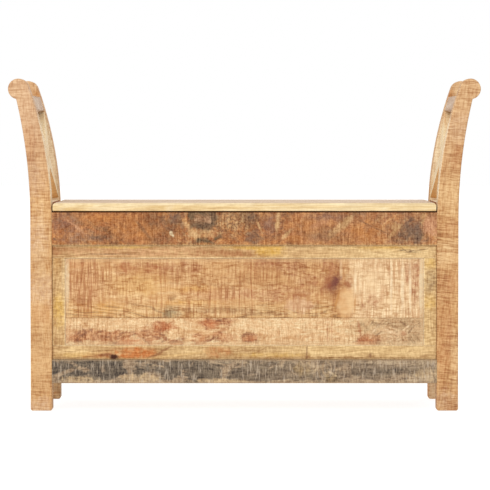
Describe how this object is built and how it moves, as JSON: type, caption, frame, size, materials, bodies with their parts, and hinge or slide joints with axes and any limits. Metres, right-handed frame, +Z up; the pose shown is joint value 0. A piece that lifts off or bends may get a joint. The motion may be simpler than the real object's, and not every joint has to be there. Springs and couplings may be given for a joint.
{
  "type": "storage hall bench",
  "caption": "Rustic wooden hall bench: bowed scroll-top posts, crossed-board arms and a lift-up seat lid over a panelled storage box.",
  "frame": {"origin": "centre of the bounding box at floor level, under the middle of the seat", "axes": "+X to the sitter's left as seen from the front (right in the picture), +Y to the back, +Z up"},
  "size_m": [1.098, 0.35, 0.773],
  "materials": {
    "post_wood": "honey brown waxed mango wood with saw marks across the grain",
    "arm_rail_wood": "greyed, lightly limed mango wood",
    "brace_wood": "honey brown waxed mango wood",
    "apron_wood": "dark reddish brown waxed mango wood with saw marks",
    "plinth_wood": "grey-brown weathered mango wood with saw marks",
    "frame_wood": "yellow-brown waxed mango wood",
    "upper_panel_wood": "tan waxed mango wood with crossing saw marks",
    "lower_panel_wood": "pale tan waxed mango wood with brown clouds",
    "side_wood": "tan waxed mango wood with saw marks",
    "rear_wood": "tan waxed mango wood with saw marks",
    "lid_wood": "pale waxed mango wood",
    "inner_wood": "planed mango wood, waxed thinly",
    "hinge_steel": "dull zinc-plated steel",
    "screw_steel": "dull zinc-plated steel"
  },
  "bodies": {
    "bench": {"arm_brace_falling_left": "brace_wood", "arm_brace_falling_right": "brace_wood", "arm_brace_rising_left": "brace_wood", "arm_brace_rising_right": "brace_wood", "arm_top_rail_left": "arm_rail_wood", "arm_top_rail_right": "arm_rail_wood", "floor_board_1": "inner_wood", "floor_board_2": "inner_wood", "floor_board_3": "inner_wood", "floor_cleat_front": "inner_wood", "floor_cleat_left": "inner_wood", "floor_cleat_rear": "inner_wood", "floor_cleat_right": "inner_wood", "front_apron": "apron_wood", "front_frame_bottom_rail": "frame_wood", "front_frame_stile_left": "frame_wood", "front_frame_stile_right": "frame_wood", "front_frame_top_rail": "frame_wood", "front_panel_lower_board": "lower_panel_wood", "front_panel_upper_board": "upper_panel_wood", "front_plinth": "plinth_wood", "hinge_fixed_leaf_left": "hinge_steel", "hinge_fixed_leaf_right": "hinge_steel", "hinge_fixed_screws": "screw_steel", "hinge_pins": "hinge_steel", "lid_bearer_left": "inner_wood", "lid_bearer_right": "inner_wood", "post_front_left": "post_wood", "post_front_right": "post_wood", "post_rear_left": "post_wood", "post_rear_right": "post_wood", "rear_foot_rail": "rear_wood", "rear_panel_board_1": "rear_wood", "rear_panel_board_2": "rear_wood", "rear_panel_board_3": "rear_wood", "rear_top_rail": "rear_wood", "side_foot_rail_left": "side_wood", "side_foot_rail_right": "side_wood", "side_panel_lower_board_left": "side_wood", "side_panel_lower_board_right": "side_wood", "side_panel_upper_board_left": "side_wood", "side_panel_upper_board_right": "side_wood", "side_seat_rail_left": "side_wood", "side_seat_rail_right": "side_wood", "strip_screws": "screw_steel"},
    "lid": {"lid_front_board": "lid_wood", "lid_middle_board": "lid_wood", "lid_rear_board": "lid_wood", "lid_batten_left": "inner_wood", "lid_batten_right": "inner_wood", "hinge_lid_leaf_left": "hinge_steel", "hinge_lid_leaf_right": "hinge_steel", "hinge_lid_screws": "screw_steel", "batten_screws": "screw_steel"}
  },
  "joints": [
    {"name": "lid_hinge", "type": "hinge", "parent": "bench", "child": "lid", "pos_m": [0, 0.1705, 0.465], "axis": [-1, 0, 0], "range_deg": [0, 100]}
  ]
}
